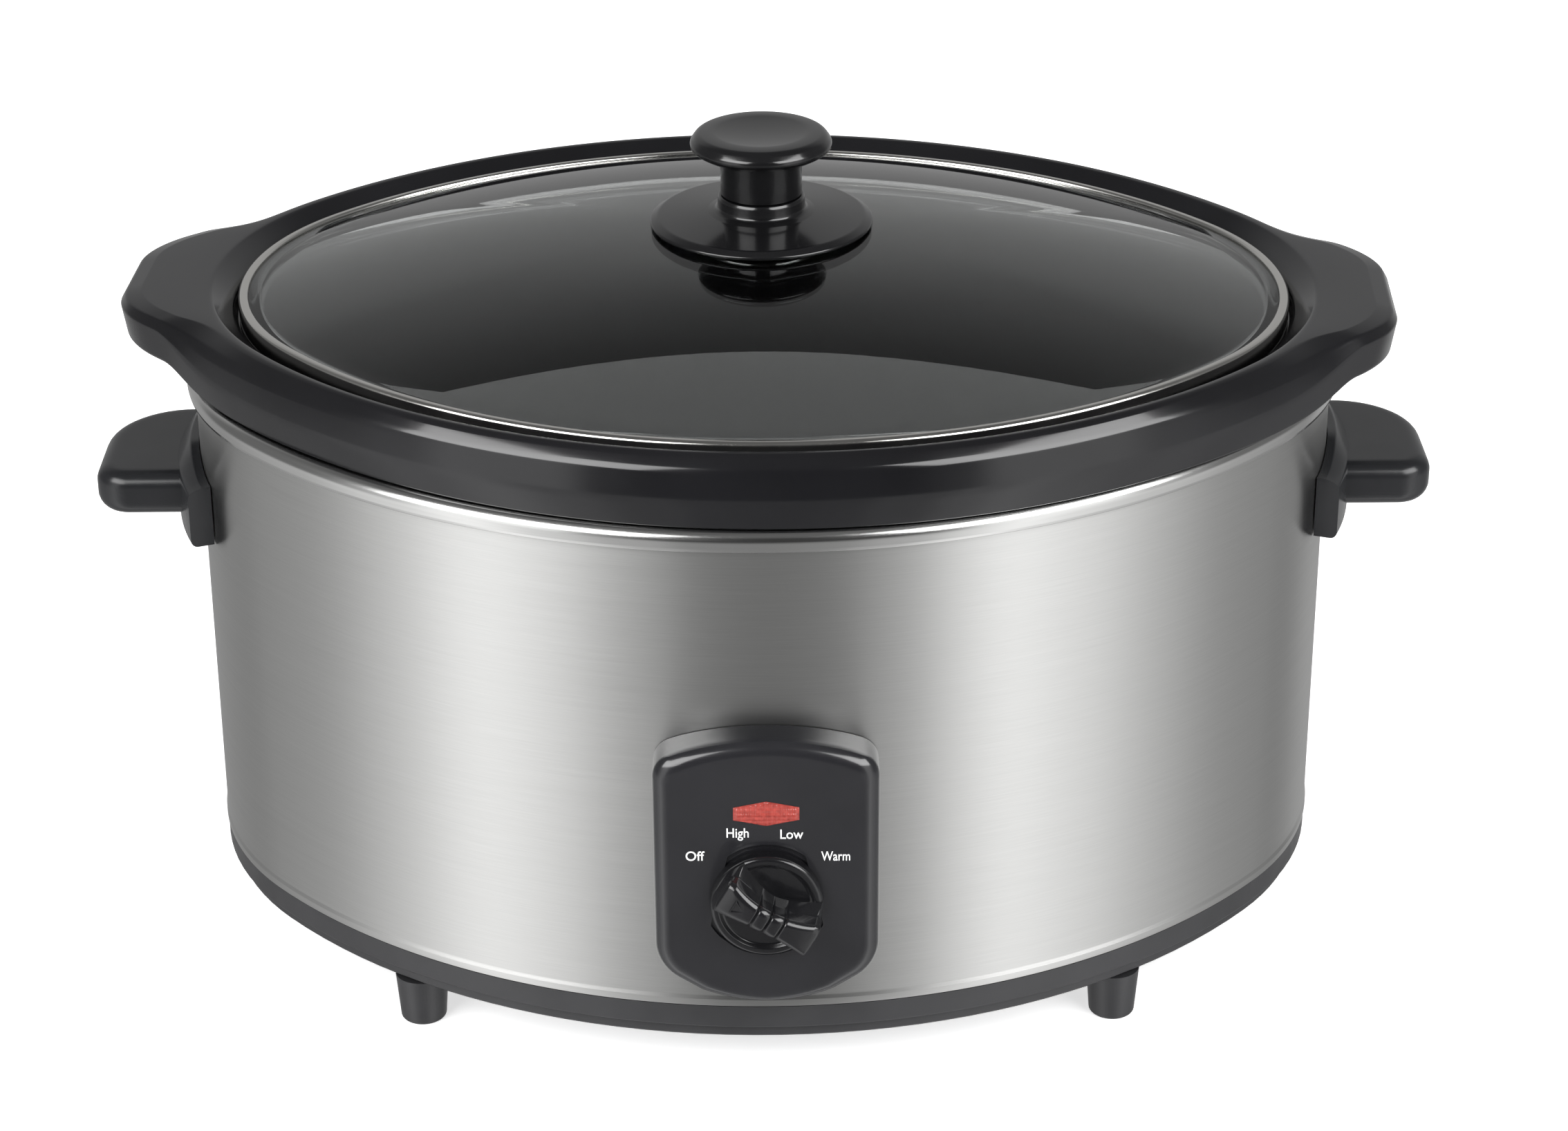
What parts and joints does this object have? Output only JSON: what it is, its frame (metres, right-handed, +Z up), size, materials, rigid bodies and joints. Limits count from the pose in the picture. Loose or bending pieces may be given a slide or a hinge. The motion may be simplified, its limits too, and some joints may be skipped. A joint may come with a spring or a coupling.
{
  "type": "slow cooker",
  "caption": "Oval countertop slow cooker: steel-walled heated base with side handles and a rotary dial, lift-out stoneware crock with lugs, and a domed glass lid with a knob.",
  "frame": {"origin": "centre of the oval on the plane that the four feet stand on", "axes": "+Z up; +X along the width, towards the right-hand handle seen from the front; -Y towards the control panel"},
  "size_m": [0.406, 0.2976, 0.2493],
  "materials": {
    "wall_steel": "brushed",
    "lip_steel": "satin",
    "inner_steel": "plain",
    "fastener_steel": "zinc plated",
    "lid_steel": "polished",
    "housing_plastic": "satin moulded",
    "panel_plastic": "gloss",
    "phenolic": "satin phenolic",
    "dial_plastic": "semi gloss",
    "lens_red": "translucent",
    "lamp_glass": "clear",
    "white_plastic": "matte",
    "heater_wrap": "woven glass fibre over foil",
    "foot_plastic": "satin moulded",
    "rubber_black": "matte",
    "stoneware": "black ceramic glaze",
    "lid_glass": "clear tempered",
    "brass": "plain"
  },
  "bodies": {
    "housing": {"outer_casing": "wall_steel", "heating_well": "lip_steel", "heater_band": "heater_wrap", "heater_clasp": "inner_steel", "heat_shield": "inner_steel", "reflector_plate": "inner_steel", "base_pan": "housing_plastic", "foot_front_left": "foot_plastic", "foot_front_right": "foot_plastic", "foot_rear_left": "foot_plastic", "foot_rear_right": "foot_plastic", "foot_screws": "fastener_steel", "centre_stud": "fastener_steel", "centre_washer": "fastener_steel", "centre_nut": "fastener_steel", "control_panel": "panel_plastic", "panel_screws": "fastener_steel", "indicator_lens": "lens_red", "neon_lamp": "lamp_glass", "lamp_clip": "white_plastic", "rotary_switch": "white_plastic", "switch_nut": "fastener_steel", "right_handle": "phenolic", "left_handle": "phenolic", "handle_screws": "fastener_steel", "handle_washers": "fastener_steel", "cord_gland": "rubber_black", "terminal_block": "white_plastic", "terminal_screws": "brass", "earth_tag": "brass", "thermal_fuse": "fastener_steel", "fuse_clip": "inner_steel"},
    "dial": {"control_knob": "dial_plastic", "switch_shaft": "white_plastic", "knob_clip": "fastener_steel"},
    "crock": {"crock": "stoneware"},
    "lid": {"lid_rim_band": "lid_steel", "lid_glass": "lid_glass", "lid_knob_skirt": "phenolic", "lid_knob": "phenolic", "lid_knob_washer": "phenolic", "lid_grommet": "rubber_black", "lid_knob_screw": "fastener_steel"}
  },
  "joints": [
    {"name": "crock_lift", "type": "slide", "parent": "housing", "child": "crock", "axis": [0, 0, 1], "range_m": [0, 0.19]},
    {"name": "lid_lift", "type": "slide", "parent": "crock", "child": "lid", "axis": [0, 0, 1], "range_m": [0, 0.12]},
    {"name": "dial_turn", "type": "hinge", "parent": "housing", "child": "dial", "pos_m": [0, -0.145, 0.0706], "axis": [0, 1, 0], "range_deg": [0, 120]}
  ]
}
